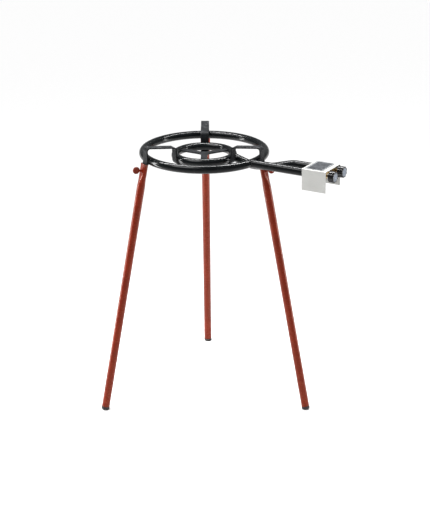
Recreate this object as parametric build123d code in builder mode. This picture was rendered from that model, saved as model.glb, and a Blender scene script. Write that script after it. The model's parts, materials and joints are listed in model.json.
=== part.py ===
"""Two-ring outdoor gas burner on three removable tube legs, with two taps under a bent cover.

Frame: millimetres, +Z up, origin on the floor below the centre of the rings, +X along the mixer
tubes towards the taps. Leg 1 and pan support 1 stand at +X, the others at 120 and 240 degrees.
"""

import math
import os

from build123d import *

# Burner rings
outer_ring_radius = 187.5
inner_ring_radius = 88.5
ring_tube_radius = 12.5
tube_wall = 1.5
outer_ring_height = 787.0
inner_ring_height = 777.5
port_radius = 1.1
port_tilt = 38.0
outer_ports = 60
inner_ports = 30

# Mixer tubes, from the rings to the taps
outer_feed_y = -35.5
outer_feed_height = 786.0
inner_feed_y = 29.0
inner_feed_height = 783.8
inner_feed_low = 758.6
inner_feed_end_low = 763.5
feed_end_x = 374.0

# Pan supports: one bent flat bar each
support_angles = (0, 120, 240)
bar_width = 25.0
bar_thickness = 4.0
support_outer_corner = 829.6
support_inner_corner = 816.4
top_bend_radius = 9.5
prong_length = 40.0
prong_corner = 6.0

# Legs
leg_top_radius = 205.3
leg_top_height = 780.0
leg_floor_radius = 363.4
leg_tube_radius = 12.5
flat_width = 30.5
flat_depth = 15.0
flat_length = 32.0
neck_length = 38.0
foot_height = 11.0
foot_corner = 4.0
foot_flat = 0.8
foot_shank = 22.0
prong_offset = 1.4
prong_bend_radius = 20.0
hook_end_radius = 80.0

# Centre spider: a flat plate with three arms, between the pan supports
spider_width = 20.0
spider_thickness = 4.0
spider_bottom = 778.5
spider_corner = 14.0
spider_turn = 60.0

# Thumb screws and their rivet nuts
screw_drop = 22.0
screw_reach = 25.0
screw_head_radius = 11.0
screw_head_thickness = 4.0
screw_shank_radius = 3.85
screw_bore_radius = 3.9
screw_tip_gap = 0.3
rivet_body_radius = 5.5
rivet_flange_radius = 6.5
rivet_flange_thickness = 0.8
rivet_body_length = 6.2

# Valve cover and what holds it
cover_back_x = 363.8
cover_front_x = 442.5
cover_low_y = -50.0
cover_high_y = 45.5
cover_top = 801.5
cover_bottom = 736.2
cover_sheet = 1.2
cover_bend = 3.0
label_thickness = 0.5
label_length = 58.0
label_width = 84.0
label_corner = 2.0
label_setback = 4.0
bracket_x = 364.5
bracket_width = 18.0
bracket_thickness = 2.5
bracket_drop = 19.0
rivet_x = 375.0
rivet_spacing = 24.0
cover_rivet_radius = 1.6
cover_rivet_head = 2.9
cover_rivet_head_angle = 100.0
cover_rivet_tail = 1.2

# Taps, all lengths along X
tap_body_x = 392.0
tap_body_length = 34.0
tap_body_radius = 11.5
bonnet_length = 10.0
bonnet_flats = 19.0
plug_start = 398.0
plug_length = 22.0
plug_big_radius = 7.5
plug_small_radius = 6.0
running_gap = 0.05
spindle_radius = 3.0
spindle_start = 409.0
spring_room = 7.0
push_travel = 3.5
outer_knob_back = 449.5
inner_knob_back = 447.0
knob_length = 17.5
knob_radius = 17.0
knob_lobes = 8
knob_lobe_radius = 4.2
knob_face_radius = 13.0
knob_face_thickness = 1.2
knob_bore_depth = 11.0

# Gas path
injector_nose_radius = 3.5
injector_hex_flats = 10.0
injector_start = 380.0
injector_bore = 0.5
sleeve_radius = ring_tube_radius - tube_wall
sleeve_wall = 1.2
sleeve_start = 362.0
manifold_radius = 7.0
manifold_bore = 4.5
manifold_x = 404.0
branch_radius = 6.2
branch_bore = 3.6
branch_drop = 12.0
tail_radius = 4.75
tail_bore = 3.0
tail_length = 26.0
tail_flange_radius = 7.0
tail_flange_length = 6.0


def save(name, part):
    part.label = name
    export_step(part, f"parts/{name}.step")


def half_ring(radius, height, ports, feed_plane, start):
    """Half of a ring from its start angle, with its share of the two rows of flame ports."""
    pitch = 360 / ports
    with BuildPart() as half:
        with BuildSketch(Plane.XZ.rotated((0, 0, start))):
            with Locations((radius, height)):
                Circle(ring_tube_radius)
                Circle(ring_tube_radius - tube_wall, mode=Mode.SUBTRACT)
        revolve(axis=Axis.Z, revolution_arc=180)
        for side in (-1, 1):
            port = Plane((radius, 0, height)).rotated((0, side * port_tilt, 0))
            turns = [start + pitch * (index + 0.5 + side * 0.2) for index in range(ports // 2)]
            with Locations(*[Plane.XY.rotated((0, 0, turn)) * port.location for turn in turns]):
                Cylinder(
                    port_radius,
                    2 * ring_tube_radius,
                    align=(Align.CENTER, Align.CENTER, Align.MIN),
                    mode=Mode.SUBTRACT,
                )
        with BuildSketch(feed_plane):
            Circle(ring_tube_radius - tube_wall)
        extrude(amount=2 * ring_tube_radius, mode=Mode.SUBTRACT)
    return half.part


def burner_ring(name, radius, height, ports, feed_plane):
    """A bent tube closed into a ring, with its flame ports and a hole for its mixer tube."""
    with BuildPart() as ring:
        for start in (0, 180):
            add(half_ring(radius, height, ports, feed_plane, start))
    save(name, ring.part)


def hollow_run(name, path, ring_radius, ring_height):
    """A mixer tube swept along its path and coped where it is welded to its ring."""
    with BuildPart() as tube:
        with BuildSketch(Plane(origin=path @ 0, z_dir=path % 0)):
            Circle(ring_tube_radius)
            Circle(ring_tube_radius - tube_wall, mode=Mode.SUBTRACT)
        sweep(path=path)
        with Locations((0, 0, ring_height)):
            Torus(ring_radius, ring_tube_radius, mode=Mode.SUBTRACT)
    save(name, tube.part)


os.makedirs("parts", exist_ok=True)

# Mixer tube paths. Both start inside their ring, where the ring's own shape trims them.
outer_feed_start_x = math.sqrt(outer_ring_radius**2 - outer_feed_y**2)
inner_feed_start_x = math.sqrt(inner_ring_radius**2 - inner_feed_y**2)
with BuildLine() as outer_feed_path:
    Line(
        (outer_feed_start_x, outer_feed_y, outer_feed_height),
        (feed_end_x, outer_feed_y, outer_feed_height),
    )
with BuildLine() as inner_feed_path:
    FilletPolyline(
        (inner_feed_start_x, inner_feed_y, inner_ring_height - 0.5),
        (150, inner_feed_y, inner_feed_low),
        (222, inner_feed_y, inner_feed_end_low),
        (294, inner_feed_y, inner_feed_height),
        (feed_end_x, inner_feed_y, inner_feed_height),
        radius=(110, 150, 120),
    )

burner_ring(
    "outer_ring",
    outer_ring_radius,
    outer_ring_height,
    outer_ports,
    Plane(origin=outer_feed_path.line @ 0, z_dir=outer_feed_path.line % 0),
)
burner_ring(
    "inner_ring",
    inner_ring_radius,
    inner_ring_height,
    inner_ports,
    Plane(origin=inner_feed_path.line @ 0, z_dir=inner_feed_path.line % 0),
)
hollow_run("outer_feed_tube", outer_feed_path.line, outer_ring_radius, outer_ring_height)
hollow_run("inner_feed_tube", inner_feed_path.line, inner_ring_radius, inner_ring_height)

# Leg axis: the frame of one leg has its origin at the centre of the leg's top, Z down the leg
lean = math.atan((leg_floor_radius - leg_top_radius) / leg_top_height)
leg_down = Vector(math.sin(lean), 0, -math.cos(lean))
leg_out = Vector(math.cos(lean), 0, math.sin(lean))
leg_top = Vector(leg_top_radius, 0, leg_top_height)


def leg_plane(along, outward=0.0):
    """Plane across the leg, a distance down from its top; its X points away from the burner."""
    origin = leg_top + leg_down * along + leg_out * outward
    return Plane(origin=origin, x_dir=leg_out, z_dir=leg_down)


# Pan support: prong in the leg, plate outside the outer ring, bar over the gap between the rings,
# plate outside the inner ring, then a hook under the inner ring
outer_plate_radius = outer_ring_radius + ring_tube_radius + bar_thickness / 2
inner_plate_radius = inner_ring_radius + ring_tube_radius + bar_thickness / 2
under_bend_radius = ring_tube_radius + bar_thickness / 2
prong_bottom = leg_top + leg_down * prong_length - leg_out * prong_offset
prong_kink_height = prong_bottom.Z + (prong_bottom.X - outer_plate_radius) / math.tan(lean)
with BuildLine() as bar_path:
    FilletPolyline(
        prong_bottom,
        (outer_plate_radius, 0, prong_kink_height),
        (outer_plate_radius, 0, support_outer_corner),
        (inner_plate_radius, 0, support_inner_corner),
        (inner_plate_radius, 0, inner_ring_height - under_bend_radius),
        (hook_end_radius, 0, inner_ring_height - under_bend_radius),
        radius=(prong_bend_radius, top_bend_radius, top_bend_radius, under_bend_radius),
    )
with BuildPart() as support:
    with BuildSketch(Plane(origin=bar_path.line @ 0, x_dir=(0, 1, 0), z_dir=bar_path.line % 0)):
        Rectangle(bar_width, bar_thickness)
    sweep(path=bar_path.line)
    prong_end = support.faces().sort_by(Axis.Z)[0]
    fillet(prong_end.edges().sort_by(SortBy.LENGTH)[:2], prong_corner)
for number, angle in enumerate(support_angles, start=1):
    save(f"pan_support_{number}", support.part.rotate(Axis.Z, angle))

with BuildPart() as centre_spider:
    for angle in support_angles:
        with BuildSketch(Plane((0, 0, spider_bottom)).rotated((0, 0, angle + spider_turn))):
            Rectangle(inner_ring_radius, spider_width, align=(Align.MIN, Align.CENTER))
        extrude(amount=spider_thickness)
    inner_corners = centre_spider.edges().filter_by(Axis.Z).sort_by_distance((0, 0, spider_bottom))
    fillet(inner_corners[: len(support_angles)], spider_corner)
    with Locations((0, 0, inner_ring_height)):
        Torus(inner_ring_radius, ring_tube_radius, mode=Mode.SUBTRACT)
save("centre_spider", centre_spider.part)

# Leg tube: flattened at the top for the prong, then easing into the round tube
foot_corner_centre = leg_top_height - (leg_tube_radius - foot_corner) * math.sin(lean)
foot_bottom = (foot_corner_centre - foot_corner + foot_flat) / math.cos(lean) + foot_corner
tube_end = foot_bottom - foot_height


def leg_shell(inset):
    """The leg's outside, or its bore when inset by the wall."""
    radius = leg_tube_radius - inset
    depth = flat_depth - 2 * inset
    straight = flat_width - flat_depth
    with BuildPart() as body:
        with BuildSketch(leg_plane(0)):
            Rectangle(depth, straight)
            with Locations((0, straight / 2), (0, -straight / 2)):
                Circle(depth / 2)
        extrude(amount=flat_length)
        for along, share in ((flat_length, 0), (flat_length + neck_length, 1)):
            side_x = depth / 2 if share == 0 else radius * math.cos(math.radians(50))
            side_y = straight / 2 if share == 0 else radius * math.sin(math.radians(50))
            tip_y = straight / 2 + depth / 2 if share == 0 else radius
            bulge = depth / 2 if share == 0 else radius
            with BuildSketch(leg_plane(along)):
                with BuildLine():
                    ThreePointArc((-side_x, side_y), (0, tip_y), (side_x, side_y))
                    if share == 0:
                        Line((side_x, side_y), (side_x, -side_y))
                    else:
                        ThreePointArc((side_x, side_y), (bulge, 0), (side_x, -side_y))
                    ThreePointArc((side_x, -side_y), (0, -tip_y), (-side_x, -side_y))
                    if share == 0:
                        Line((-side_x, -side_y), (-side_x, side_y))
                    else:
                        ThreePointArc((-side_x, -side_y), (-bulge, 0), (-side_x, side_y))
                make_face()
        loft()
        with BuildSketch(leg_plane(flat_length + neck_length)):
            Circle(radius)
        extrude(amount=tube_end - flat_length - neck_length)
    return body.part


leg_bore = leg_shell(tube_wall)
with BuildPart() as leg_tube:
    add(leg_shell(0))
    add(leg_bore, mode=Mode.SUBTRACT)
    with BuildSketch(Plane(origin=leg_plane(screw_drop).origin, z_dir=leg_out)):
        Circle(rivet_body_radius)
    extrude(amount=flat_depth, mode=Mode.SUBTRACT)

# Foot: plastic plug with a rounded end, worn flat where it stands
with BuildPart() as leg_foot:
    with BuildSketch(leg_plane(tube_end)):
        Circle(leg_tube_radius)
    extrude(amount=foot_height)
    fillet(leg_foot.faces().sort_by(Axis.Z)[0].edges(), foot_corner)
    with BuildSketch(leg_plane(tube_end - foot_shank)):
        Circle(leg_tube_radius - tube_wall)
    extrude(amount=foot_shank)
    split(bisect_by=Plane.XY, keep=Keep.TOP)

# Rivet nut in the flattened wall, and the thumb screw that clamps the prong
screw_origin = leg_plane(screw_drop).origin


def screw_plane(outward):
    """Plane across the thumb screw, a distance out from the leg's axis; its X points down the leg."""
    return Plane(origin=screw_origin + leg_out * outward, x_dir=leg_down, z_dir=leg_out)


rivet_seat = flat_depth / 2
with BuildPart() as rivet_nut:
    with BuildSketch(screw_plane(rivet_seat)):
        Circle(rivet_flange_radius)
    extrude(amount=rivet_flange_thickness)
    with BuildSketch(screw_plane(rivet_seat - rivet_body_length)):
        Circle(rivet_body_radius)
    extrude(amount=rivet_body_length)
    with BuildSketch(screw_plane(-flat_depth)):
        Circle(screw_bore_radius)
    extrude(amount=2 * flat_depth, mode=Mode.SUBTRACT)

screw_tip = bar_thickness / 2 - prong_offset + screw_tip_gap
neck_end = screw_reach - screw_head_radius + 3
with BuildPart() as thumb_screw:
    with BuildSketch(screw_plane(screw_tip)):
        Circle(screw_shank_radius)
    extrude(amount=neck_end - screw_tip)
    with BuildSketch(Plane(origin=screw_plane(screw_reach).origin, x_dir=leg_out, z_dir=(0, 1, 0))):
        Circle(screw_head_radius)
    extrude(amount=screw_head_thickness / 2, both=True)
    head_rims = thumb_screw.edges().filter_by(GeomType.CIRCLE).filter_by(
        lambda edge: abs(edge.radius - screw_head_radius) < 0.01
    )
    fillet(head_rims, screw_head_thickness / 4)

for number, angle in enumerate(support_angles, start=1):
    save(f"leg_tube_{number}", leg_tube.part.rotate(Axis.Z, angle))
    save(f"leg_foot_{number}", leg_foot.part.rotate(Axis.Z, angle))
    save(f"rivet_nut_{number}", rivet_nut.part.rotate(Axis.Z, angle))
    save(f"thumb_screw_{number}", thumb_screw.part.rotate(Axis.Z, angle))

# Valve cover: one sheet bent over the taps, open at both ends and underneath
cover_middle_y = (cover_low_y + cover_high_y) / 2
cover_width = cover_high_y - cover_low_y
cover_height = cover_top - cover_bottom
cover_plane = Plane((cover_back_x, cover_middle_y, cover_bottom), x_dir=(0, 1, 0), z_dir=(1, 0, 0))
bracket_middle_y = (outer_feed_y + inner_feed_y) / 2
rivet_rows = [bracket_middle_y + side * rivet_spacing / 2 for side in (-1, 1)]
with BuildPart() as valve_cover:
    with BuildSketch(cover_plane):
        Rectangle(cover_width, cover_height, align=(Align.CENTER, Align.MIN))
    extrude(amount=cover_front_x - cover_back_x)
    fillet(valve_cover.faces().sort_by(Axis.Z)[-1].edges().filter_by(Axis.X), cover_bend)
    with BuildSketch(cover_plane):
        with BuildLine():
            FilletPolyline(
                (-cover_width / 2 + cover_sheet, -1),
                (-cover_width / 2 + cover_sheet, cover_height - cover_sheet),
                (cover_width / 2 - cover_sheet, cover_height - cover_sheet),
                (cover_width / 2 - cover_sheet, -1),
                radius=cover_bend - cover_sheet,
            )
            Line((cover_width / 2 - cover_sheet, -1), (-cover_width / 2 + cover_sheet, -1))
        make_face()
    extrude(amount=cover_front_x - cover_back_x, mode=Mode.SUBTRACT)
    with Locations(*[(rivet_x, y, cover_top) for y in rivet_rows]):
        CounterSinkHole(
            cover_rivet_radius, cover_rivet_head, counter_sink_angle=cover_rivet_head_angle
        )
save("valve_cover", valve_cover.part)

label_x = (cover_back_x + cover_front_x) / 2 - label_setback
with BuildPart() as label_plate:
    with BuildSketch(Plane((label_x, cover_middle_y, cover_top))):
        RectangleRounded(label_length, label_width, label_corner)
    extrude(amount=label_thickness)
save("label_plate", label_plate.part)

# Bracket: a bridge welded between the mixer tubes, with its top just under the cover
bracket_low_y = outer_feed_y + ring_tube_radius
bracket_high_y = inner_feed_y - ring_tube_radius
bracket_top = cover_top - cover_sheet
bracket_plane = Plane((bracket_x, bracket_middle_y, bracket_top), x_dir=(0, 1, 0), z_dir=(1, 0, 0))
bracket_half = (bracket_high_y - bracket_low_y) / 2
with BuildPart() as cover_bracket:
    with BuildSketch(bracket_plane):
        with BuildLine():
            FilletPolyline(
                (-bracket_half, -bracket_drop),
                (-bracket_half, 0),
                (bracket_half, 0),
                (bracket_half, -bracket_drop),
                radius=bracket_thickness + 1,
            )
            offset(amount=-bracket_thickness, side=Side.RIGHT, closed=True)
        make_face()
    extrude(amount=bracket_width)
    with Locations(*[(rivet_x, y, bracket_top) for y in rivet_rows]):
        Hole(cover_rivet_radius)
save("cover_bracket", cover_bracket.part)

rivet_grip = cover_sheet + bracket_thickness
rivet_head_depth = (cover_rivet_head - cover_rivet_radius) / math.tan(
    math.radians(cover_rivet_head_angle / 2)
)
with BuildPart() as cover_rivets:
    for y in rivet_rows:
        with BuildSketch(Plane((rivet_x, y, cover_top))):
            Circle(cover_rivet_head)
        with BuildSketch(Plane((rivet_x, y, cover_top - rivet_head_depth))):
            Circle(cover_rivet_radius)
        loft()
        with BuildSketch(Plane((rivet_x, y, cover_top - rivet_grip))):
            Circle(cover_rivet_radius)
        extrude(amount=rivet_grip - rivet_head_depth)
        with BuildSketch(Plane((rivet_x, y, cover_top - rivet_grip - cover_rivet_tail))):
            Circle(cover_rivet_head)
        extrude(amount=cover_rivet_tail)
save("cover_rivets", cover_rivets.part)


def across_x(x, y, z):
    """Plane across a tap's axis at this point; its normal is +X and its X is +Y."""
    return Plane(origin=(x, y, z), x_dir=(0, 1, 0), z_dir=(1, 0, 0))


def build_tap(name, y, z, port_side, knob_back):
    """One tap with its injector, air sleeve, plug, spring, spindle, bonnet and knob."""
    body_end = tap_body_x + tap_body_length
    bonnet_end = body_end + bonnet_length
    cavity_end = plug_start + plug_length

    with BuildPart() as sleeve:
        with BuildSketch(across_x(sleeve_start, y, z)):
            Circle(sleeve_radius)
        extrude(amount=tap_body_x - sleeve_start)
        with BuildSketch(across_x(sleeve_start, y, z)):
            Circle(sleeve_radius - sleeve_wall)
        extrude(amount=tap_body_x - sleeve_start - sleeve_wall, mode=Mode.SUBTRACT)
        with BuildSketch(across_x(sleeve_start, y, z)):
            Circle(injector_nose_radius)
        extrude(amount=tap_body_x - sleeve_start, mode=Mode.SUBTRACT)
        for turn in (0, 90):
            window = Plane((feed_end_x + 2, y, z), x_dir=(1, 0, 0)).rotated((turn, 0, 0))
            with BuildSketch(window):
                RectangleRounded(10, 11, 2, align=(Align.MIN, Align.CENTER))
            extrude(amount=2 * sleeve_radius, both=True, mode=Mode.SUBTRACT)
    save(f"air_sleeve_{name}", sleeve.part)

    with BuildPart() as injector:
        with BuildSketch(across_x(injector_start + 2, y, z)):
            Circle(injector_nose_radius)
        extrude(amount=tap_body_x + 6 - injector_start - 2)
        with BuildSketch(across_x(injector_start, y, z)):
            RegularPolygon(injector_hex_flats / 2, 6, major_radius=False)
        extrude(amount=tap_body_x - sleeve_wall - injector_start)
        chamfer(injector.faces().sort_by(Axis.X)[0].edges(), 0.8)
        with BuildSketch(across_x(injector_start, y, z)):
            Circle(injector_bore)
        extrude(amount=4, mode=Mode.SUBTRACT)
        with BuildSketch(across_x(injector_start + 4, y, z)):
            Circle(injector_nose_radius / 2)
        extrude(amount=tap_body_x, mode=Mode.SUBTRACT)
    save(f"injector_{name}", injector.part)

    with BuildPart() as body:
        with BuildSketch(across_x(tap_body_x, y, z)):
            Circle(tap_body_radius)
        extrude(amount=tap_body_length)
        fillet(body.edges().filter_by(GeomType.CIRCLE), 1.0)
        with BuildSketch(across_x(plug_start, y, z)):
            Circle(plug_small_radius + running_gap)
        with BuildSketch(across_x(cavity_end, y, z)):
            Circle(plug_big_radius + running_gap)
        loft(mode=Mode.SUBTRACT)
        with BuildSketch(across_x(cavity_end, y, z)):
            Circle(plug_big_radius + running_gap)
        extrude(amount=tap_body_length, mode=Mode.SUBTRACT)
        with BuildSketch(across_x(tap_body_x, y, z)):
            Circle(injector_nose_radius)
        extrude(amount=plug_start - tap_body_x, mode=Mode.SUBTRACT)
        with BuildSketch(Plane((manifold_x, y, z), x_dir=(1, 0, 0), z_dir=(0, port_side, 0))):
            Circle(manifold_bore)
        extrude(amount=tap_body_radius, mode=Mode.SUBTRACT)
    save(f"tap_body_{name}", body.part)

    with BuildPart() as bonnet:
        with BuildSketch(across_x(body_end, y, z)):
            RegularPolygon(bonnet_flats / 2, 6, major_radius=False)
        extrude(amount=bonnet_length)
        with BuildSketch(across_x(cavity_end + 0.3, y, z)):
            Circle(plug_big_radius)
        extrude(amount=body_end - cavity_end - 0.3)
        with BuildSketch(across_x(tap_body_x, y, z)):
            Circle(spindle_radius + running_gap)
        extrude(amount=tap_body_length + bonnet_length, mode=Mode.SUBTRACT)
        front = bonnet.faces().filter_by(GeomType.PLANE).sort_by(Axis.X)[-1]
        chamfer(front.outer_wire().edges(), 0.9)
    save(f"tap_bonnet_{name}", bonnet.part)

    with BuildPart() as plug:
        with BuildSketch(across_x(plug_start, y, z)):
            Circle(plug_small_radius)
        with BuildSketch(across_x(cavity_end, y, z)):
            Circle(plug_big_radius)
        loft()
        with BuildSketch(across_x(spindle_start - spring_room, y, z)):
            Circle(spindle_radius + running_gap)
        extrude(amount=plug_length, mode=Mode.SUBTRACT)
        with BuildSketch(Plane((manifold_x, y, z), x_dir=(1, 0, 0), z_dir=(0, port_side, 0))):
            Circle(manifold_bore / 2)
        extrude(amount=tap_body_radius, mode=Mode.SUBTRACT)
    save(f"tap_plug_{name}", plug.part)

    with BuildPart() as spring:
        with BuildLine() as coil:
            Helix(
                pitch=spring_room / 4,
                height=spring_room - 1.2,
                radius=spindle_radius - 0.7,
                center=(spindle_start - spring_room + 0.6, y, z),
                direction=(1, 0, 0),
            )
        with BuildSketch(Plane(origin=coil.line @ 0, z_dir=coil.line % 0)):
            Circle(0.35)
        sweep(path=coil.line, is_frenet=True)
    save(f"spindle_spring_{name}", spring.part)

    knob_bore_end = knob_back + knob_bore_depth
    with BuildPart() as spindle:
        with BuildSketch(across_x(spindle_start, y, z)):
            Circle(spindle_radius)
        extrude(amount=knob_bore_end - spindle_start)
        with BuildSketch(across_x(bonnet_end + push_travel + 1, y, z)):
            with Locations((0, spindle_radius)):
                Rectangle(2 * spindle_radius, spindle_radius)
        extrude(amount=knob_bore_end, mode=Mode.SUBTRACT)
    save(f"tap_spindle_{name}", spindle.part)

    knob_front = knob_back + knob_length
    with BuildPart() as knob:
        with BuildSketch(across_x(knob_back, y, z)):
            Circle(knob_radius)
            with PolarLocations(knob_radius + knob_lobe_radius / 2, knob_lobes):
                Circle(knob_lobe_radius, mode=Mode.SUBTRACT)
        extrude(amount=knob_length)
        fillet(knob.faces().sort_by(Axis.X)[-1].outer_wire().edges(), 1.0)
        with BuildSketch(across_x(knob_front - knob_face_thickness, y, z)):
            Circle(knob_face_radius)
        extrude(amount=knob_face_thickness, mode=Mode.SUBTRACT)
        with BuildSketch(across_x(knob_back, y, z)):
            Circle(spindle_radius)
            with Locations((0, spindle_radius)):
                Rectangle(2 * spindle_radius, spindle_radius, mode=Mode.SUBTRACT)
        extrude(amount=knob_bore_depth, mode=Mode.SUBTRACT)
    save(f"knob_{name}", knob.part)

    with BuildPart() as face:
        with BuildSketch(across_x(knob_front - knob_face_thickness, y, z)):
            Circle(knob_face_radius)
        extrude(amount=knob_face_thickness)
    save(f"knob_face_{name}", face.part)


build_tap("outer", outer_feed_y, outer_feed_height, 1, outer_knob_back)
build_tap("inner", inner_feed_y, inner_feed_height, -1, inner_knob_back)

# Manifold: a tee between the two taps, with its branch down to the hose tail
manifold_start = Vector(manifold_x, outer_feed_y, outer_feed_height)
manifold_finish = Vector(manifold_x, inner_feed_y, inner_feed_height)
manifold_middle = (manifold_start + manifold_finish) / 2
manifold_dir = (manifold_finish - manifold_start).normalized()
tap_sides = ((outer_feed_y, outer_feed_height), (inner_feed_y, inner_feed_height))
with BuildPart() as manifold:
    with BuildSketch(Plane(origin=manifold_start, z_dir=manifold_dir)):
        Circle(manifold_radius)
    extrude(amount=(manifold_finish - manifold_start).length)
    with BuildSketch(Plane(origin=manifold_middle, z_dir=(0, 0, -1))):
        Circle(branch_radius)
    extrude(amount=branch_drop)
    with BuildSketch(Plane(origin=manifold_start, z_dir=manifold_dir)):
        Circle(manifold_bore)
    extrude(amount=(manifold_finish - manifold_start).length, mode=Mode.SUBTRACT)
    with BuildSketch(Plane(origin=manifold_middle, z_dir=(0, 0, -1))):
        Circle(branch_bore)
    extrude(amount=branch_drop, mode=Mode.SUBTRACT)
    for y, z in tap_sides:
        with BuildSketch(across_x(tap_body_x, y, z)):
            Circle(tap_body_radius)
        extrude(amount=tap_body_length, mode=Mode.SUBTRACT)
save("gas_manifold", manifold.part)

tail_top = manifold_middle.Z - branch_drop
with BuildPart() as hose_tail:
    with BuildSketch(Plane((manifold_x, manifold_middle.Y, tail_top), z_dir=(0, 0, -1))):
        RegularPolygon(tail_flange_radius, 6)
    extrude(amount=tail_flange_length)
    with BuildSketch(Plane((manifold_x, manifold_middle.Y, tail_top), z_dir=(0, 0, -1))):
        Circle(tail_radius)
    extrude(amount=tail_flange_length + tail_length)
    chamfer(hose_tail.faces().sort_by(Axis.Z)[0].edges(), 0.8)
    with BuildSketch(Plane((manifold_x, manifold_middle.Y, tail_top), z_dir=(0, 0, -1))):
        Circle(tail_bore)
    extrude(amount=tail_flange_length + tail_length, mode=Mode.SUBTRACT)
save("hose_tail", hose_tail.part)
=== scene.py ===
"""Looks of the two-ring gas burner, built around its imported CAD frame."""

import json
import math
import random

import bmesh
import bpy
from mathutils import Matrix, Vector


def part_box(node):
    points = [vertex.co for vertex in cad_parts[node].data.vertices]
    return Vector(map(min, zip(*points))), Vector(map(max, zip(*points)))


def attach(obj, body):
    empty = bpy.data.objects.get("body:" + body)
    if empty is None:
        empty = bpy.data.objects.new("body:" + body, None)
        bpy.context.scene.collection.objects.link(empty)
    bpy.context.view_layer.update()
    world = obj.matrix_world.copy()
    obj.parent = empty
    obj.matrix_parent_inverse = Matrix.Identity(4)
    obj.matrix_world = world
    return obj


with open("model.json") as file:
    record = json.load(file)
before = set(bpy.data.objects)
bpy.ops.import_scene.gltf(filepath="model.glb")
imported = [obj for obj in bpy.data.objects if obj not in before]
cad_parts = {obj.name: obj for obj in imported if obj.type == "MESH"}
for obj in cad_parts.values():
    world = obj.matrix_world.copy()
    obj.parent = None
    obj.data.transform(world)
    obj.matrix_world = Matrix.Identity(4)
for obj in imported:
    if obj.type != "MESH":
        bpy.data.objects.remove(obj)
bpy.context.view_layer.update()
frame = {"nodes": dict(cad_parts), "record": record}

RNG_SEED = 7
TAPS = ("outer", "inner")
LEG_ANGLES = {1: 0.0, 2: 120.0, 3: 240.0}

random.seed(RNG_SEED)
scene = bpy.context.scene


# ---------------------------------------------------------------- shader helper


class Shader:
    """A small builder for one procedural material."""

    def __init__(self, name):
        self.mat = bpy.data.materials.new(name)
        self.mat.use_nodes = True
        self.tree = self.mat.node_tree
        self.tree.nodes.clear()
        out = self.tree.nodes.new("ShaderNodeOutputMaterial")
        self.bsdf = self.tree.nodes.new("ShaderNodeBsdfPrincipled")
        self.tree.links.new(self.bsdf.outputs[0], out.inputs[0])
        self.coord = self.tree.nodes.new("ShaderNodeTexCoord").outputs["Object"]

    def link(self, value, socket):
        """Joins a socket to socket, or writes a plain value on it."""
        if isinstance(value, bpy.types.NodeSocket):
            self.tree.links.new(value, socket)
        else:
            socket.default_value = value

    def fixed(self, **values):
        """Plain values on the shader, with _ for each space in an input's name."""
        for key, value in values.items():
            self.bsdf.inputs[key.replace("_", " ")].default_value = value

    def mapped(self, scale, offset=(0, 0, 0)):
        """Object coordinates in metres, scaled and then moved."""
        node = self.tree.nodes.new("ShaderNodeMapping")
        self.tree.links.new(self.coord, node.inputs["Vector"])
        node.inputs["Scale"].default_value = scale
        node.inputs["Location"].default_value = offset
        return node.outputs[0]

    def noise(self, scale, detail, rough=0.55, distortion=0.0, vector=None):
        node = self.tree.nodes.new("ShaderNodeTexNoise")
        self.tree.links.new(vector or self.coord, node.inputs["Vector"])
        node.inputs["Scale"].default_value = scale
        node.inputs["Detail"].default_value = detail
        node.inputs["Roughness"].default_value = rough
        node.inputs["Distortion"].default_value = distortion
        return node.outputs["Fac"]

    def cells(self, scale):
        """Distance to the nearest of scattered points."""
        node = self.tree.nodes.new("ShaderNodeTexVoronoi")
        self.tree.links.new(self.coord, node.inputs["Vector"])
        node.inputs["Scale"].default_value = scale
        return node.outputs["Distance"]

    def span(self, value, low, high, out_low=0.0, out_high=1.0):
        """Value remapped from low..high to out_low..out_high, and held there."""
        node = self.tree.nodes.new("ShaderNodeMapRange")
        node.clamp = True
        self.link(value, node.inputs["Value"])
        node.inputs["From Min"].default_value = low
        node.inputs["From Max"].default_value = high
        node.inputs["To Min"].default_value = out_low
        node.inputs["To Max"].default_value = out_high
        return node.outputs["Result"]

    def math(self, kind, a, b=0.0):
        node = self.tree.nodes.new("ShaderNodeMath")
        node.operation = kind
        self.link(a, node.inputs[0])
        self.link(b, node.inputs[1])
        return node.outputs[0]

    def mix(self, factor, a, b):
        """Colour a, or b where factor is 1."""
        node = self.tree.nodes.new("ShaderNodeMix")
        node.data_type = "RGBA"
        self.link(factor, node.inputs["Factor"])
        for value, socket in ((a, node.inputs[6]), (b, node.inputs[7])):
            if isinstance(value, tuple):
                socket.default_value = (*value, 1.0)
            else:
                self.tree.links.new(value, socket)
        return node.outputs[2]

    def axis(self, index, vector=None):
        """One coordinate in metres: 0 for X, 1 for Y, 2 for Z."""
        node = self.tree.nodes.new("ShaderNodeSeparateXYZ")
        self.tree.links.new(vector or self.coord, node.inputs[0])
        return node.outputs[index]

    def bump(self, layers):
        """layers: (height socket, strength, distance in metres)."""
        normal = None
        for height, strength, distance in layers:
            node = self.tree.nodes.new("ShaderNodeBump")
            node.inputs["Strength"].default_value = strength
            node.inputs["Distance"].default_value = distance
            self.tree.links.new(height, node.inputs["Height"])
            if normal is not None:
                self.tree.links.new(normal, node.inputs["Normal"])
            normal = node.outputs[0]
        self.tree.links.new(normal, self.bsdf.inputs["Normal"])

    def color(self, value):
        self.tree.links.new(value, self.bsdf.inputs["Base Color"])

    def rough(self, value):
        self.tree.links.new(value, self.bsdf.inputs["Roughness"])


# ---------------------------------------------------------------- materials


WORN_FADE = 0.012
WORN_BELOW_LEG_TOP = 0.016
BAR_SCUFF_AND_SHEEN_LOW, BAR_SCUFF_AND_SHEEN_HIGH = 0.800, 0.830
FOOT_DUST_HEIGHT = 0.014
FACE_RIM_INNER, FACE_RIM_OUTER = 0.0108, 0.0124
FACE_RING_RATE = 9000.0
LABEL_RIM_INSET = 0.0035
LABEL_RIM_HALF = 0.0008
LABEL_WORN_EDGE = 0.0022


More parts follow.
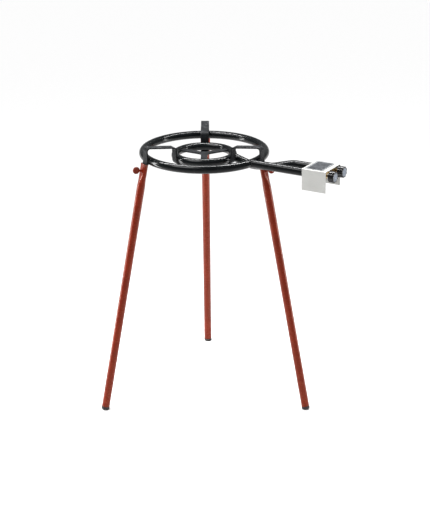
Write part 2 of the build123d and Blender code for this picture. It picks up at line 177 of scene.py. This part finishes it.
def enamel(name):
    """Glossy black vitreous enamel with fine pimples, and pale pin specks painted on as glints
    where pimples catch light.
    """
    s = Shader(name)
    clouds = s.noise(38, 5)
    # Pale specks in patches: painted glints off the enamel's pimples.
    glint_specks = s.span(s.cells(900), 0.10, 0.20, 1.0, 0.0)
    glint_patch = s.span(s.noise(26, 3), 0.50, 0.66)
    base = s.mix(clouds, (0.0010, 0.0016, 0.0020), (0.0045, 0.0055, 0.006))
    s.color(s.mix(s.math("MULTIPLY", glint_specks, glint_patch), base, (0.16, 0.16, 0.17)))
    s.rough(s.span(s.math("ADD", s.noise(420, 4), s.noise(30, 3)), 0.7, 1.3, 0.08, 0.20))
    s.bump([(s.noise(70, 3), 0.06, 0.0012), (s.noise(560, 4), 0.20, 0.00045)])
    s.fixed(Specular_IOR_Level=0.17)
    return s.mat


def support_paint(name):
    """Matte near-black paint on flat bar, lighter near its top: scuffs, and painted sheen where
    the upper faces catch the light.
    """
    s = Shader(name)
    clouds = s.noise(45, 6)
    base = s.mix(s.span(clouds, 0.3, 0.7), (0.0035, 0.004, 0.0045), (0.015, 0.016, 0.018))
    # Lighter streaks on the bars' tops: scuffs, plus painted sheen where the upward faces catch
    # the light.
    scuff_and_sheen_run = s.noise(55, 5, 0.7, 1.2, s.mapped((1, 1, 0.5)))
    high = s.span(s.axis(2), BAR_SCUFF_AND_SHEEN_LOW, BAR_SCUFF_AND_SHEEN_HIGH)
    scuff_and_sheen = s.math("MULTIPLY", s.span(scuff_and_sheen_run, 0.55, 0.68), high)
    s.color(s.mix(scuff_and_sheen, base, (0.10, 0.10, 0.105)))
    s.rough(s.span(s.noise(300, 5), 0.3, 0.7, 0.38, 0.62))
    s.bump([(s.noise(90, 3), 0.20, 0.001), (s.noise(1100, 4), 0.45, 0.00035)])
    s.fixed(Specular_IOR_Level=0.10)
    return s.mat


def red_paint(name, worn_above):
    """Brick red powder coat: orange peel, blotches, grime, and rubbed above a height."""
    s = Shader(name)
    blotch = s.noise(16, 5, 0.6)
    base = s.mix(s.span(blotch, 0.3, 0.7), (0.120, 0.0072, 0.0014), (0.162, 0.0110, 0.0024))
    grime = s.span(s.noise(34, 8, 0.7), 0.56, 0.78)
    base = s.mix(s.math("MULTIPLY", grime, 0.55), base, (0.070, 0.006, 0.003))
    streak = s.noise(30, 5, 0.65, 0.4, s.mapped((1, 1, 0.06)))
    base = s.mix(s.span(streak, 0.60, 0.80, 0.0, 0.30), base, (0.22, 0.022, 0.009))
    points = s.span(s.cells(420), 0.06, 0.12, 1.0, 0.0)
    flecks = s.math("MULTIPLY", points, s.span(s.noise(20, 3), 0.6, 0.7))
    base = s.mix(flecks, base, (0.09, 0.05, 0.045))
    rub = s.math(
        "MULTIPLY",
        s.span(s.axis(2), worn_above, worn_above + WORN_FADE),
        s.span(s.noise(260, 6, 0.7), 0.52, 0.60),
    )
    s.color(s.mix(rub, base, (0.13, 0.10, 0.09)))
    s.rough(s.span(s.math("ADD", s.noise(210, 4), blotch), 0.7, 1.3, 0.20, 0.34))
    s.bump([(s.noise(520, 2), 0.14, 0.0004), (s.noise(60, 3), 0.10, 0.0008)])
    s.fixed(Specular_IOR_Level=0.34, Specular_Tint=(1.0, 0.62, 0.45, 1.0))
    return s.mat


def rubbery(name):
    """Black moulded foot: matte, and dusty near the ground."""
    s = Shader(name)
    clouds = s.noise(120, 6)
    low_down = s.span(s.axis(2), FOOT_DUST_HEIGHT, 0.0)
    dusty = s.math("MULTIPLY", low_down, s.span(s.noise(260, 6), 0.42, 0.62))
    base = s.mix(clouds, (0.008, 0.008, 0.009), (0.022, 0.022, 0.023))
    s.color(s.mix(dusty, base, (0.11, 0.10, 0.09)))
    s.rough(s.span(clouds, 0.3, 0.7, 0.55, 0.78))
    s.bump([(s.noise(1300, 4), 0.4, 0.0003), (s.noise(150, 3), 0.2, 0.0006)])
    s.fixed(Specular_IOR_Level=0.2)
    return s.mat


def brushed_sheet(name):
    """Brushed sheet steel: long fine scratches along X, faint smudges."""
    s = Shader(name)
    dark, light = (0.355, 0.355, 0.34), (0.445, 0.445, 0.43)
    lines = s.noise(60, 6, 0.7, 0.0, s.mapped((1, 22, 22)))
    broad = s.noise(18, 5)
    finger = s.span(s.noise(46, 5, 0.6, 0.8), 0.58, 0.76)
    grain = s.math("ADD", lines, s.math("MULTIPLY", broad, 0.5))
    base = s.mix(s.span(grain, 0.45, 1.0), dark, light)
    s.color(s.mix(s.math("MULTIPLY", finger, 0.25), base, tuple(0.72 * v for v in dark)))
    s.rough(s.span(s.math("ADD", lines, s.math("MULTIPLY", finger, 0.5)), 0.3, 1.1, 0.42, 0.58))
    s.bump([(lines, 0.30, 0.0003), (s.noise(22, 2), 0.25, 0.0012)])
    s.fixed(Metallic=0.25)
    return s.mat


def machined_brass(name):
    """Brass turned on a lathe, with dull brown tarnish."""
    s = Shader(name)
    tarnish = s.span(s.noise(130, 6, 0.65), 0.45, 0.70)
    turning = s.noise(70, 4, 0.6, 0.0, s.mapped((14, 1, 1)))
    base = s.mix(turning, (0.17, 0.105, 0.034), (0.33, 0.22, 0.08))
    s.color(s.mix(s.math("MULTIPLY", tarnish, 0.6), base, (0.07, 0.045, 0.022)))
    s.rough(s.span(s.math("ADD", turning, tarnish), 0.4, 1.4, 0.22, 0.48))
    s.bump([(turning, 0.35, 0.00025), (s.noise(500, 4), 0.2, 0.0002)])
    s.fixed(Metallic=1.0)
    return s.mat


def zinc(name):
    """Zinc plate with small spangles, dulled in places."""
    s = Shader(name)
    spangle = s.cells(520)
    base = s.mix(s.span(spangle, 0.0, 0.7), (0.33, 0.33, 0.34), (0.58, 0.58, 0.60))
    dull = s.span(s.noise(200, 6), 0.5, 0.72)
    s.color(s.mix(s.math("MULTIPLY", dull, 0.5), base, (0.24, 0.235, 0.23)))
    s.rough(s.span(s.math("ADD", spangle, dull), 0.0, 1.5, 0.26, 0.5))
    s.bump([(s.noise(900, 4), 0.3, 0.0002)])
    s.fixed(Metallic=1.0)
    return s.mat


def knob_plastic(name):
    """Black moulded plastic, semi-gloss, with a fine grain."""
    s = Shader(name)
    clouds = s.noise(150, 5)
    s.color(s.mix(clouds, (0.0015, 0.0017, 0.002), (0.006, 0.006, 0.007)))
    s.rough(s.span(s.noise(340, 5), 0.3, 0.7, 0.16, 0.30))
    s.bump([(s.noise(1500, 3), 0.15, 0.00022), (s.noise(180, 3), 0.10, 0.0005)])
    s.fixed(Specular_IOR_Level=0.20)
    return s.mat


def turned_face(name, centre):
    """Satin disc with fine turned rings about its own centre, and painted shade darkening its
    rim.
    """
    s = Shader(name)
    local = s.mapped((1, 1, 1), (-centre.x, -centre.y, -centre.z))
    y, z = s.axis(1, local), s.axis(2, local)
    radius = s.math("SQRT", s.math("ADD", s.math("MULTIPLY", y, y), s.math("MULTIPLY", z, z)))
    rings = s.math("SINE", s.math("MULTIPLY", radius, FACE_RING_RATE))
    clouds = s.noise(140, 5)
    base = s.mix(s.span(clouds, 0.3, 0.7), (0.075, 0.090, 0.118), (0.150, 0.175, 0.215))
    # Painted shade: the face darkens towards its rim.
    rim_shade = s.span(radius, FACE_RIM_INNER, FACE_RIM_OUTER)
    s.color(s.mix(s.math("MULTIPLY", rim_shade, 0.6), base, (0.06, 0.07, 0.08)))
    s.rough(s.span(s.math("ADD", rings, clouds), -0.6, 1.6, 0.36, 0.55))
    s.bump([(rings, 0.25, 0.00012), (s.noise(300, 3), 0.2, 0.0002)])
    s.fixed(Metallic=0.10, Specular_IOR_Level=0.2)
    return s.mat


def label_foil(name, low, high):
    """Blank printed foil: slate blue-grey, mottled, with a pale rim line and worn edges."""
    s = Shader(name)
    mottled = s.noise(95, 8, 0.75)
    fine = s.cells(600)
    base = s.mix(s.span(mottled, 0.40, 0.60), (0.008, 0.010, 0.013), (0.078, 0.083, 0.090))
    base = s.mix(s.span(fine, 0.10, 0.35, 0.5, 0.0), base, (0.030, 0.034, 0.042))
    x, y = s.axis(0), s.axis(1)
    near_edge = s.math(
        "MINIMUM",
        s.math("MINIMUM", s.math("SUBTRACT", x, low.x), s.math("SUBTRACT", high.x, x)),
        s.math("MINIMUM", s.math("SUBTRACT", y, low.y), s.math("SUBTRACT", high.y, y)),
    )
    rim_line = s.math("COMPARE", near_edge, LABEL_RIM_INSET)
    rim_line.node.inputs[2].default_value = LABEL_RIM_HALF
    base = s.mix(s.math("MULTIPLY", rim_line, 0.75), base, (0.42, 0.44, 0.46))
    at_edge = s.span(near_edge, LABEL_WORN_EDGE, 0.0)
    worn = s.math("MULTIPLY", at_edge, s.span(s.noise(500, 5), 0.45, 0.6))
    s.color(s.mix(worn, base, (0.50, 0.50, 0.50)))
    s.rough(s.span(mottled, 0.3, 0.7, 0.26, 0.46))
    s.bump([(mottled, 0.20, 0.0003)])
    s.fixed(Specular_IOR_Level=0.22)
    return s.mat


def weld_metal(name):
    """Enamelled weld bead: black and lumpy."""
    s = Shader(name)
    lumps = s.noise(420, 5)
    s.color(s.mix(lumps, (0.007, 0.007, 0.008), (0.026, 0.025, 0.025)))
    s.rough(s.span(lumps, 0.3, 0.7, 0.22, 0.45))
    s.bump([(lumps, 0.6, 0.0008)])
    s.fixed(Specular_IOR_Level=0.2)
    return s.mat


def floor_paper(name):
    """Plain pale studio paper."""
    s = Shader(name)
    fibre = s.noise(40, 5)
    s.color(s.mix(fibre, (0.90, 0.90, 0.90), (0.93, 0.93, 0.93)))
    s.rough(s.span(fibre, 0.3, 0.7, 0.85, 0.95))
    return s.mat


label_low, label_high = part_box("label_plate")
leg_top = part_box("leg_tube_1")[1].z
materials = {
    "black_enamel": enamel("black_enamel"),
    "support_steel": support_paint("support_steel"),
    "red_paint": red_paint("red_paint", leg_top - WORN_BELOW_LEG_TOP),
    "foot_plastic": rubbery("foot_plastic"),
    "cover_steel": brushed_sheet("cover_steel"),
    "zinc_steel": zinc("zinc_steel"),
    "brass": machined_brass("brass"),
    "knob_plastic": knob_plastic("knob_plastic"),
    "label_foil": label_foil("label_foil", label_low, label_high),
}
weld_material = weld_metal("enamelled_weld")


def paint(obj, material):
    obj.data.materials.clear()
    obj.data.materials.append(material)


# The two knob faces have a slot of their own and get a material each, about their own centres
for entry in frame["record"]["subparts"]:
    node, slot_name = entry["node"], entry["material_slot"]
    if slot_name in materials:
        paint(frame["nodes"][node], materials[slot_name])
for tap in TAPS:
    low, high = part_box(f"knob_face_{tap}")
    satin = turned_face(f"knob_face_{tap}_satin", (low + high) / 2)
    paint(frame["nodes"][f"knob_face_{tap}"], satin)


# ---------------------------------------------------------------- mesh helpers


def add_mesh(name, bm, material, body):
    """A new piece from bm, which rides on a body and wears the given material."""
    mesh = bpy.data.meshes.new(name)
    bm.normal_update()
    bm.to_mesh(mesh)
    bm.free()
    obj = bpy.data.objects.new(name, mesh)
    scene.collection.objects.link(obj)
    mesh.materials.append(material)
    for polygon in mesh.polygons:
        polygon.use_smooth = True
    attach(obj, body)


def loop_tube(bm, points, radii, closed, segments):
    """A tube through points in bm, with its own radius at each point; open ends are capped."""
    count = len(points)
    rings = []
    side = None
    for index, point in enumerate(points):
        before = points[index - 1] if closed or index else points[index]
        after = points[(index + 1) % count] if closed or index < count - 1 else points[index]
        tangent = (after - before).normalized()
        if side is None:
            side = tangent.orthogonal().normalized()
        side = (side - tangent * side.dot(tangent)).normalized()
        other = tangent.cross(side)
        radius = radii[index]
        ring = []
        for step in range(segments):
            angle = 2 * math.pi * step / segments
            spoke = side * math.cos(angle) + other * math.sin(angle)
            ring.append(bm.verts.new(point + spoke * radius))
        rings.append(ring)
    spans = count if closed else count - 1
    for index in range(spans):
        a, b = rings[index], rings[(index + 1) % count]
        shift = 0
        if closed and index == count - 1:
            shift = min(range(segments), key=lambda k: (b[k].co - a[0].co).length)
        for step in range(segments):
            following = (step + 1) % segments
            far, near = b[(following + shift) % segments], b[(step + shift) % segments]
            bm.faces.new((a[step], a[following], far, near))
    if not closed:
        bm.faces.new(list(reversed(rings[0])))
        bm.faces.new(rings[-1])


def turned(point, degrees):
    """A point turned about Z."""
    return Matrix.Rotation(math.radians(degrees), 3, "Z") @ Vector(point)


# ---------------------------------------------------------------- rings: flame ports


def ring_facts(node):
    """Radius to the middle of a ring's tube, the tube's own radius, and its height."""
    low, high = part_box(node)
    minor = (high.z - low.z) / 2
    return (high.x - low.x) / 2 - minor, minor, (high.z + low.z) / 2


PORT_TILT = math.radians(38)
PORT_STAGGER = 0.2
OUTER_PORTS = 60
INNER_PORTS = 30
RIM_RADIUS = 0.00145
RIM_TUBE = 0.00030
RIM_SUNK = 0.55
RIM_STEPS = 14
RIM_SIDES = 6


def port_rims(node, count):
    """A soft enamel rim round every flame port of a ring."""
    major, minor, height = ring_facts(node)
    bm = bmesh.new()
    pitch = 360 / count
    for side in (-1, 1):
        for half in (0, 180):
            for index in range(count // 2):
                turn = half + pitch * (index + 0.5 + side * PORT_STAGGER)
                out = Vector((math.sin(side * PORT_TILT), 0, math.cos(PORT_TILT)))
                centre = Vector((major, 0, height)) + out * (minor - RIM_TUBE * RIM_SUNK)
                across = Vector((0, 1, 0))
                along = out.cross(across)
                points = []
                for step in range(RIM_STEPS):
                    angle = 2 * math.pi * step / RIM_STEPS
                    offset = across * math.cos(angle) + along * math.sin(angle)
                    points.append(turned(centre + offset * RIM_RADIUS, turn))
                loop_tube(bm, points, [RIM_TUBE] * len(points), True, RIM_SIDES)
    add_mesh(f"{node}_port_rims", bm, weld_material, "burner")


port_rims("outer_ring", OUTER_PORTS)
port_rims("inner_ring", INNER_PORTS)


# ---------------------------------------------------------------- weld beads


BEAD_SIDES = 10
BEAD_VALLEY = 0.82
BEAD_RIPPLE = 0.18
BEAD_RIPPLE_TURN = 1.25
BEAD_JITTER = 0.08
BEAD_END = 0.55
FEED_BEAD = 0.0016
SUPPORT_BEAD = 0.0016
INNER_BEAD = 0.0014
SPIDER_BEAD = 0.0013
COPE_STEPS = 72
COPE_TRIES = 400
COPE_STEP = 0.0001
COPE_LIFT = 1.03


def bead(name, points, radius):
    """A rippled weld bead along points, thinner at its two ends."""
    bm = bmesh.new()
    radii = []
    for index in range(len(points)):
        ripple = BEAD_RIPPLE * abs(math.sin(index * BEAD_RIPPLE_TURN))
        radii.append(radius * (BEAD_VALLEY + ripple + random.uniform(-BEAD_JITTER, BEAD_JITTER)))
    radii[0] *= BEAD_END
    radii[-1] *= BEAD_END
    loop_tube(bm, points, radii, False, BEAD_SIDES)
    add_mesh(name, bm, weld_material, "burner")


def cope_curve(node, tube_y, tube_z, direction, tube_radius):
    """Points where a tube running along direction from a ring leaves the ring's surface."""
    major, minor, height = ring_facts(node)
    side = Vector((0, 1, 0))
    up = side.cross(direction).normalized() * -1
    points = []
    start = Vector((math.sqrt(major**2 - tube_y**2), tube_y, tube_z))
    for step in range(COPE_STEPS + 1):
        angle = 2 * math.pi * step / COPE_STEPS
        rim_shade = (side * math.cos(angle) + up * math.sin(angle)) * tube_radius
        distance = 0.0
        for _ in range(COPE_TRIES):
            p = start + rim_shade + direction * distance
            ring_distance = math.hypot(math.hypot(p.x, p.y) - major, p.z - height)
            if ring_distance >= minor:
                break
            distance += COPE_STEP
        points.append(start + rim_shade * COPE_LIFT + direction * distance)
    return points


# Where each mixer tube leaves its ring
INNER_FEED_Z = 0.777
INNER_FEED_DIRECTION = (1, 0, -0.27)
outer_low, outer_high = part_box("outer_feed_tube")
tube_radius = (outer_high.z - outer_low.z) / 2
outer_y = (outer_low.y + outer_high.y) / 2
outer_z = (outer_low.z + outer_high.z) / 2
inner_low, inner_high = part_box("inner_feed_tube")
inner_y = (inner_low.y + inner_high.y) / 2
outer_cope = cope_curve("outer_ring", outer_y, outer_z, Vector((1, 0, 0)), tube_radius)
bead("weld_outer_feed", outer_cope, FEED_BEAD)
inner_slope = Vector(INNER_FEED_DIRECTION).normalized()
inner_cope = cope_curve("inner_ring", inner_y, INNER_FEED_Z, inner_slope, tube_radius)
bead("weld_inner_feed", inner_cope, FEED_BEAD)

# Down both edges of each pan support, where it crosses the two rings
BAR_HALF = 0.0125
WELD_GAP = 0.0002
OUTER_WELD_BESIDE = 0.0006
OUTER_WELD_HALF = 0.009
OUTER_WELD_STEPS = 12
INNER_WELD_BESIDE = 0.0004
INNER_WELD_HALF = 0.007
INNER_WELD_STEPS = 10
outer_major, outer_minor, outer_height = ring_facts("outer_ring")
inner_major, inner_minor, inner_height = ring_facts("inner_ring")


def upright_weld(name, radius, y, middle, half, steps, angle, bead_radius):
    """A straight bead up a ring's outer side at distance y from the middle of a support."""
    rows = []
    for step in range(steps + 1):
        z = middle - half + 2 * half * step / steps
        rows.append(turned((radius + WELD_GAP, y, z), angle))
    bead(name, rows, bead_radius)


for number, angle in LEG_ANGLES.items():
    for side, letter in ((-1, "a"), (1, "b")):
        upright_weld(
            f"weld_support_{number}_{letter}",
            outer_major + outer_minor,
            side * (BAR_HALF + OUTER_WELD_BESIDE),
            outer_height,
            OUTER_WELD_HALF,
            OUTER_WELD_STEPS,
            angle,
            SUPPORT_BEAD,
        )
        upright_weld(
            f"weld_inner_support_{number}_{letter}",
            inner_major + inner_minor,
            side * (BAR_HALF + INNER_WELD_BESIDE),
            inner_height,
            INNER_WELD_HALF,
            INNER_WELD_STEPS,
            angle,
            INNER_BEAD,
        )

# Where the spider's arms meet the inside wall of the inner ring
SPIDER_HALF = 0.0105
SPIDER_ARMS = (60, 180, 300)
SPIDER_HALF_STEPS = 6
SPIDER_BEAD_INSET = 0.0004
SPIDER_BEAD_LIFT = 0.0003
spider_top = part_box("centre_spider")[1].z
spider_reach = inner_major - math.sqrt(inner_minor**2 - (inner_height - spider_top) ** 2)
for number, angle in enumerate(SPIDER_ARMS, start=1):
    rows = []
    for step in range(2 * SPIDER_HALF_STEPS + 1):
        y = SPIDER_HALF * (step / SPIDER_HALF_STEPS - 1)
        x = math.sqrt(spider_reach**2 - y**2) - SPIDER_BEAD_INSET
        rows.append(turned((x, y, spider_top + SPIDER_BEAD_LIFT), angle))
    bead(f"weld_spider_{number}", rows, SPIDER_BEAD)


# ---------------------------------------------------------------- camera, floor and light

# The camera fitted to the photo: metres and radians, with lens and sensor in millimetres.
# FIT_TURN turns it about the Z axis through the rings.
FIT_DISTANCE = 4.7178
FIT_HEIGHT = 2.2025
FIT_PITCH = 0.3617
FIT_YAW = 0.0065
FIT_ROLL = -0.0070
FIT_LENS = 109.1523
FIT_TURN = 0.5424
SENSOR = 36.0

spin = Matrix.Rotation(FIT_TURN, 3, "Z")
forward = spin @ Vector(
    (
        math.sin(FIT_YAW) * math.cos(FIT_PITCH),
        math.cos(FIT_YAW) * math.cos(FIT_PITCH),
        -math.sin(FIT_PITCH),
    )
)
level = spin @ Vector((math.cos(FIT_YAW), -math.sin(FIT_YAW), 0))
above = level.cross(forward)
right = level * math.cos(FIT_ROLL) + above * math.sin(FIT_ROLL)
up = above * math.cos(FIT_ROLL) - level * math.sin(FIT_ROLL)
camera_data = bpy.data.cameras.new("camera")
camera_data.sensor_width = SENSOR
camera_data.lens = FIT_LENS
camera = bpy.data.objects.new("camera", camera_data)
scene.collection.objects.link(camera)
pose = Matrix((right, up, -forward)).transposed().to_4x4()
pose.translation = spin @ Vector((0, -FIT_DISTANCE, FIT_HEIGHT))
camera.matrix_world = pose
scene.camera = camera


def strip_light(name, place, target, along, size, power):
    """A long soft box at place, facing target, with its long side along one direction."""
    data = bpy.data.lights.new(name, "AREA")
    data.shape = "RECTANGLE"
    data.size, data.size_y = size
    data.energy = power
    obj = bpy.data.objects.new(name, data)
    scene.collection.objects.link(obj)
    back = (place - target).normalized()
    long_side = (along - back * along.dot(back)).normalized()
    basis = Matrix((long_side, back.cross(long_side), back)).transposed().to_4x4()
    basis.translation = place
    obj.matrix_world = basis


TOP_STRIP_AWAY = 0.34
TOP_STRIP_HEIGHT = 1.65
TOP_STRIP_SIZE = (1.5, 0.09)
TOP_STRIP_WATTS = 33
SIDE_STRIP_HEIGHT = 0.62
SIDE_STRIP_SIZE = (1.3, 0.10)
LEFT_STRIP_REACH = 1.2
LEFT_STRIP_WATTS = 16
RIGHT_STRIP_REACH = 1.3
RIGHT_STRIP_WATTS = 11
LEG_MIDDLE_HEIGHT = 0.45

# The camera's own right and away directions, on the floor
across = spin @ Vector((1, 0, 0))
away = spin @ Vector((0, 1, 0))
vertical = Vector((0, 0, 1))
ring_middle = Vector((0, 0, outer_height))
leg_middle = Vector((0, 0, LEG_MIDDLE_HEIGHT))
top_place = away * TOP_STRIP_AWAY + vertical * TOP_STRIP_HEIGHT
left_place = across * -LEFT_STRIP_REACH + vertical * SIDE_STRIP_HEIGHT
right_place = across * RIGHT_STRIP_REACH + vertical * SIDE_STRIP_HEIGHT
strip_light("top_strip", top_place, ring_middle, across, TOP_STRIP_SIZE, TOP_STRIP_WATTS)
strip_light("left_strip", left_place, leg_middle, vertical, SIDE_STRIP_SIZE, LEFT_STRIP_WATTS)
strip_light("right_strip", right_place, leg_middle, vertical, SIDE_STRIP_SIZE, RIGHT_STRIP_WATTS)

SUN_STRENGTH = 2.8
SUN_SPREAD = math.radians(35)
SUN_DIRECTION = (0.25, 0.45, -1.0)
WORLD_STRENGTH = 0.30
sun_data = bpy.data.lights.new("sun", "SUN")
sun_data.energy = SUN_STRENGTH
sun_data.angle = SUN_SPREAD
sun = bpy.data.objects.new("sun", sun_data)
scene.collection.objects.link(sun)
sun.rotation_euler = Vector(SUN_DIRECTION).to_track_quat("-Z", "Y").to_euler()

world = bpy.data.worlds.new("studio")
scene.world = world
world.use_nodes = True
background = world.node_tree.nodes["Background"]
background.inputs[0].default_value = (1, 1, 1, 1)
background.inputs[1].default_value = WORLD_STRENGTH
scene.view_settings.view_transform = "Standard"

FLOOR_HALF = 30.0
floor_mesh = bpy.data.meshes.new("floor")
corners = [(x * FLOOR_HALF, y * FLOOR_HALF, 0) for x, y in ((-1, -1), (1, -1), (1, 1), (-1, 1))]
floor_mesh.from_pydata(corners, [], [(0, 1, 2, 3)])
floor = bpy.data.objects.new("floor", floor_mesh)
scene.collection.objects.link(floor)
floor_mesh.materials.append(floor_paper("floor_paper"))
